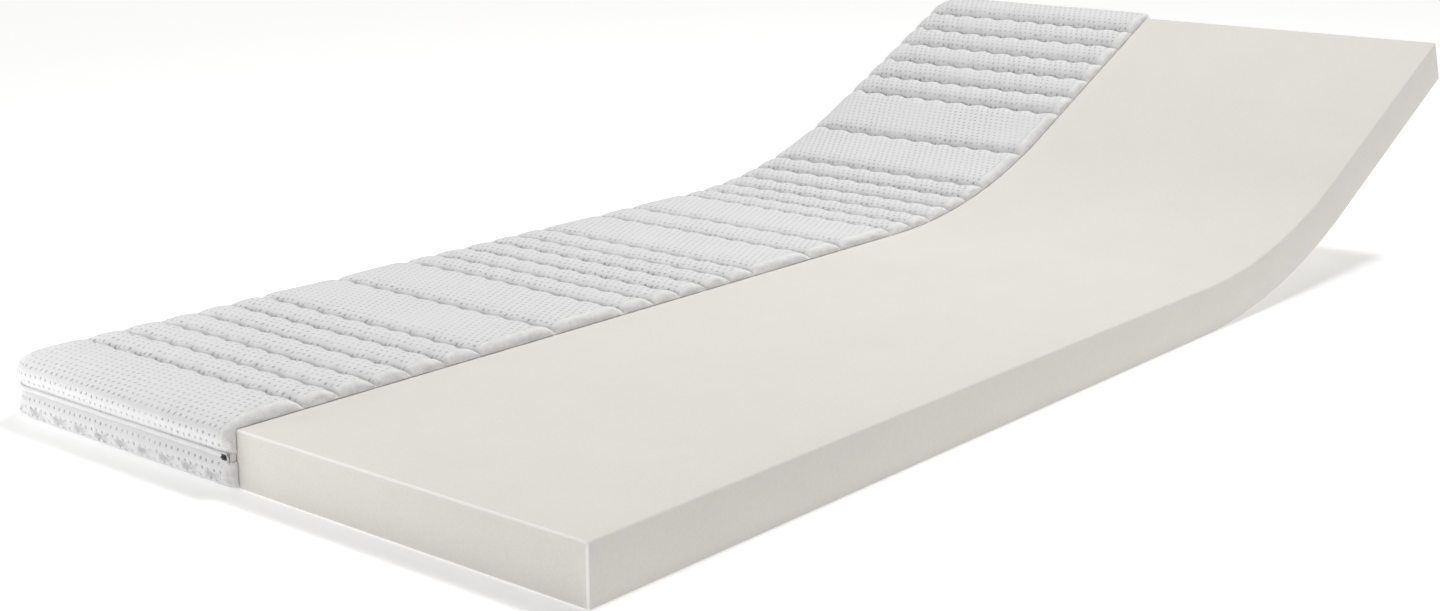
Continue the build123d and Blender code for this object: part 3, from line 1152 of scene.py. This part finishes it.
def hem_section(count=10):
    """The round hem that the upper tray ends in."""
    offset, level = SIDE - HEM_IN, UPPER_EDGE - HEM_DOWN
    radius = bpy.context.scene.mattress_stitches.hem / 2
    turns = [2 * math.pi * i / count for i in range(count)]
    return [(offset + radius * math.cos(t), level + radius * math.sin(t)) for t in turns]


def repeat_tree(name):
    """Geometry Nodes that set small rounded pieces along curves, a pitch apart."""
    tree = bpy.data.node_groups.new(name, "GeometryNodeTree")
    tree.interface.new_socket(name="Geometry", in_out="INPUT", socket_type="NodeSocketGeometry")
    for label in ("Pitch", "Length", "Width", "Depth"):
        socket = tree.interface.new_socket(name=label, in_out="INPUT", socket_type="NodeSocketFloat")
        socket.default_value = 0.002
        socket.subtype = "DISTANCE"
    tree.interface.new_socket(name="Finish", in_out="INPUT", socket_type="NodeSocketMaterial")
    tree.interface.new_socket(name="Geometry", in_out="OUTPUT", socket_type="NodeSocketGeometry")
    build = Builder(tree)
    start = build.add("NodeGroupInput").outputs
    points = build.add(
        "GeometryNodeCurveToPoints", links={"Curve": start["Geometry"], "Length": start["Pitch"]},
        mode="LENGTH",
    ).outputs
    bead = build.add("GeometryNodeMeshUVSphere", {"Segments": 8, "Rings": 5, "Radius": 0.5})
    size = build.add(
        "ShaderNodeCombineXYZ", links={"X": start["Depth"], "Y": start["Width"], "Z": start["Length"]}
    )
    shaped = build.add(
        "GeometryNodeTransform", links={"Geometry": bead.outputs["Mesh"], "Scale": size.outputs[0]}
    )
    placed = build.add("GeometryNodeInstanceOnPoints", links={
        "Points": points["Points"],
        "Instance": shaped.outputs["Geometry"],
        "Rotation": points["Rotation"],
    })
    real = build.add("GeometryNodeRealizeInstances", links={"Geometry": placed.outputs["Instances"]})
    smooth = build.add("GeometryNodeSetShadeSmooth", links={"Geometry": real.outputs["Geometry"]})
    build.add("NodeGroupOutput", links={"Geometry": build.add("GeometryNodeSetMaterial", links={
        "Geometry": smooth.outputs["Geometry"], "Material": start["Finish"]
    }).outputs["Geometry"]})
    return tree


def repeat_along(name, routes, tree, sizes, finish):
    """A plain mesh of the tree's pieces along each route of points."""
    curve = bpy.data.curves.new(name, "CURVE")
    curve.dimensions = "3D"
    curve.twist_mode = "Z_UP"
    for route in routes:
        spline = curve.splines.new("POLY")
        spline.points.add(len(route) - 1)
        spline.points.foreach_set("co", np.concatenate([route, np.ones((len(route), 1))], 1).ravel())
    carrier = linked(name, curve)
    modifier = carrier.modifiers.new("Pieces", "NODES")
    modifier.node_group = tree
    values = dict(zip(("Pitch", "Length", "Width", "Depth"), sizes), Finish=FINISHES[finish])
    for socket in tree.interface.items_tree:
        if socket.in_out == "INPUT" and socket.name in values:
            modifier[socket.identifier] = values[socket.name]
    bpy.context.view_layer.update()
    graph = bpy.context.evaluated_depsgraph_get()
    mesh = bpy.data.meshes.new_from_object(carrier.evaluated_get(graph), depsgraph=graph)
    bpy.data.objects.remove(carrier)
    bpy.data.curves.remove(curve)
    return linked(name, mesh)


def make_teeth():
    """Both rows of the zip's nylon coil."""
    sizes = bpy.context.scene.mattress_stitches
    tree = repeat_tree("Zip Teeth")
    x, s, out_x, out_s = border_route(bpy.context.scene.mattress_quilt)
    offset = SIDE - sizes.tooth_depth / 2
    tooth = (sizes.tooth_pitch, sizes.tooth_width, sizes.tooth_height, sizes.tooth_depth)
    for side, name in ((-1, "zip_lower_teeth"), (1, "zip_upper_teeth")):
        for part, rows in enumerate(part_ranges(s)):
            level = np.full(rows.stop - rows.start, CHAIN + side * TEETH_APART)
            route = LIE.place(x[rows] + out_x[rows] * offset, s[rows] + out_s[rows] * offset, level)
            if side > 0:  # the upper teeth stand between the lower ones
                route[0] += (route[1] - route[0]) * sizes.tooth_pitch / 2 / ROUTE_STEP
            made = repeat_along(f"{name}_{PARTS[part]}", [route], tree, tooth, "zip_teeth")
            place_piece(made, part, name)


def make_zip():
    """The zip's tapes and teeth, the hem above it and the seam allowance behind it."""
    border_strip("zip_lower_tape", "zip_tape",
                 tape_section(TAPE_LOW.z - TAPE_HIDDEN, TAPE_HIGH.z), "zip_lower_tape")
    border_strip("zip_upper_tape", "zip_tape",
                 tape_section(UPPER_TAPE_HIGH.z + TAPE_HIDDEN, UPPER_TAPE_LOW.z), "zip_upper_tape")
    border_strip("cover_hem", "hem", hem_section())
    border_strip("cover_seam", "hem", seam_section())
    make_teeth()
    for node in ("zip_slider_foot", "zip_slider_head"):
        for slot in frame["nodes"][node].material_slots:
            slot.material = FINISHES["zip_slider"]


def make_thread():
    """Quilting stitches along every row of the upper tray."""
    quilt = bpy.context.scene.mattress_quilt
    sizes = bpy.context.scene.mattress_stitches
    tree = repeat_tree("Stitches")
    x = np.linspace(THREAD_START, CUT - LEFT - THREAD_END, THREAD_POINTS)
    # The thread lies on the groove floors; its dark colour is painted shade for the grooves.
    level = np.full(len(x), CORE_TOP + quilt.stitched - sizes.thread * 0.5)
    routes = [[] for _ in PARTS]
    for number, row in enumerate(row_places(quilt)):
        shift, _ = row_wave(quilt, x, float(number))
        part = int(np.searchsorted(LIE.seams, row))
        routes[part].append(LIE.place(LEFT + x, row + shift, level))
    stitch = (sizes.stitch_pitch, sizes.stitch_length, sizes.thread, sizes.thread)
    for part, group in enumerate(routes):
        if group:
            made = repeat_along(f"painted_shade_thread_{PARTS[part]}", group, tree, stitch, "thread")
            place_piece(made, part)


# ---- Stage ----


def aimed(obj, place, towards, axis):
    """Stands an object somewhere with its local Z axis, or the other way, along a direction."""
    obj.location = place
    obj.rotation_mode = "QUATERNION"
    obj.rotation_quaternion = Vector(towards).to_track_quat(axis, "Y")


def area_light(name, place, target, size, power):
    """A soft rectangular light aimed at a point."""
    data = bpy.data.lights.new(name, "AREA")
    data.shape = "RECTANGLE"
    data.size, data.size_y = size
    data.energy = power
    aimed(linked(name, data), place, Vector(target) - Vector(place), "-Z")


def sun_light(name, towards, power, softness):
    """A distant light that shines from a direction."""
    data = bpy.data.lights.new(name, "SUN")
    data.energy = power
    data.angle = math.radians(softness)
    aimed(linked(name, data), (0, 0, 0), towards, "Z")


CAMERA_LENS = 51.4
CAMERA_TURN, CAMERA_DIP = math.radians(39.71), math.radians(14.77)
CAMERA_FROM_FOOT = (1.631, -1.238, 0.733)  # from the middle of the core's foot edge
FLOOR_REACH = 40.0


def make_camera():
    """A camera low beside the foot end, looking along the bare side."""
    data = bpy.data.cameras.new("camera")
    data.sensor_width = 36.0
    data.lens = CAMERA_LENS
    data.clip_end = 100.0
    camera = linked("camera", data)
    flat = math.cos(CAMERA_DIP)
    back = Vector((math.sin(CAMERA_TURN) * flat, -math.cos(CAMERA_TURN) * flat, math.sin(CAMERA_DIP)))
    foot_middle = Vector(((LEFT + RIGHT) / 2, FOOT, 0))
    aimed(camera, foot_middle + Vector(CAMERA_FROM_FOOT), -back, "-Z")
    bpy.context.scene.camera = camera


def make_stage():
    """The floor, the studio light and the camera."""
    scene = bpy.context.scene
    points = [(FLOOR_REACH * x, FLOOR_REACH * y, 0) for x, y in ((-1, -1), (1, -1), (1, 1), (-1, 1))]
    new_mesh("floor", points, [(0, 1, 2, 3)], "floor")
    world = bpy.data.worlds.new("studio")
    world.use_nodes = True
    background = world.node_tree.nodes["Background"].inputs
    background["Color"].default_value = (1, 0.985, 0.96, 1)
    background["Strength"].default_value = 0.27
    scene.world = world
    scene.view_settings.view_transform = "Standard"
    sun_light("key", (-0.03, 0.52, 0.853), 1.62, 12)
    area_light("foot_fill", (-0.92, FOOT - 0.55, 0.26), (-0.3, FOOT, 0.05), (0.7, 0.4), 3.8)
    area_light("front_fill", (0.0, FOOT - 1.7, 0.85), (-0.1, FOOT, 0.05), (1.3, 0.6), 6.6)
    area_light("head_fill", (3.0, 2.0, 1.5), (0.45, 0.75, 0.2), (1.4, 1.4), 11)
    area_light("head_top", (0.0, 0.3, 2.2), (-0.1, 0.85, 0.25), (1.2, 1.2), 16)
    make_camera()


# ---- Operators and panel ----


class MATTRESS_OT_core(bpy.types.Operator):
    """Make the foam core"""

    bl_idname = "mattress.core"
    bl_label = "Foam Core"

    def execute(self, context):
        make_core()
        return {"FINISHED"}


class MATTRESS_OT_upper_tray(bpy.types.Operator):
    """Make the cover's quilted upper tray: lining, wadding and knitted face"""

    bl_idname = "mattress.upper_tray"
    bl_label = "Upper Cover"

    def execute(self, context):
        make_tray(True)
        return {"FINISHED"}


class MATTRESS_OT_lower_tray(bpy.types.Operator):
    """Make the cover's lower tray: lining, wadding and knitted face"""

    bl_idname = "mattress.lower_tray"
    bl_label = "Lower Cover"

    def execute(self, context):
        make_tray(False)
        return {"FINISHED"}


class MATTRESS_OT_zip(bpy.types.Operator):
    """Make the zip's tapes, teeth and hem, and finish its sliders"""

    bl_idname = "mattress.zip"
    bl_label = "Zip"

    def execute(self, context):
        make_zip()
        return {"FINISHED"}


class MATTRESS_OT_thread(bpy.types.Operator):
    """Make the quilting stitches"""

    bl_idname = "mattress.thread"
    bl_label = "Quilting Thread"

    def execute(self, context):
        make_thread()
        return {"FINISHED"}


class MATTRESS_OT_stage(bpy.types.Operator):
    """Make the floor, the studio light and the camera"""

    bl_idname = "mattress.stage"
    bl_label = "Stage"

    def execute(self, context):
        make_stage()
        return {"FINISHED"}


class MATTRESS_PT_panel(bpy.types.Panel):
    """Lists the mattress's pieces"""

    bl_label = "Mattress"
    bl_idname = "MATTRESS_PT_panel"
    bl_space_type = "VIEW_3D"
    bl_region_type = "UI"
    bl_category = "Mattress"

    def draw(self, context):
        for operator in OPERATORS:
            self.layout.operator(operator.bl_idname)
        for group in (context.scene.mattress_quilt, context.scene.mattress_stitches):
            for name in group.bl_rna.properties.keys():
                if name not in ("rna_type", "name"):
                    self.layout.prop(group, name)


OPERATORS = (
    MATTRESS_OT_core,
    MATTRESS_OT_lower_tray,
    MATTRESS_OT_upper_tray,
    MATTRESS_OT_zip,
    MATTRESS_OT_thread,
    MATTRESS_OT_stage,
)

POINTERS = {
    "mattress_quilt": QuiltSettings,
    "mattress_stitches": StitchSettings,
    "mattress_colours": ColourSettings,
}
CLASSES = (*POINTERS.values(), *OPERATORS, MATTRESS_PT_panel)


def register():
    for made in CLASSES:
        bpy.utils.register_class(made)
    for name, settings in POINTERS.items():
        setattr(bpy.types.Scene, name, bpy.props.PointerProperty(type=settings))


def unregister():
    for name in POINTERS:
        delattr(bpy.types.Scene, name)
    for made in reversed(CLASSES):
        bpy.utils.unregister_class(made)


def main():
    register()
    make_finishes()
    bpy.ops.mattress.core()
    bpy.ops.mattress.lower_tray()
    bpy.ops.mattress.upper_tray()
    bpy.ops.mattress.zip()
    bpy.ops.mattress.thread()
    bpy.ops.mattress.stage()


if __name__ == "__main__":
    main()
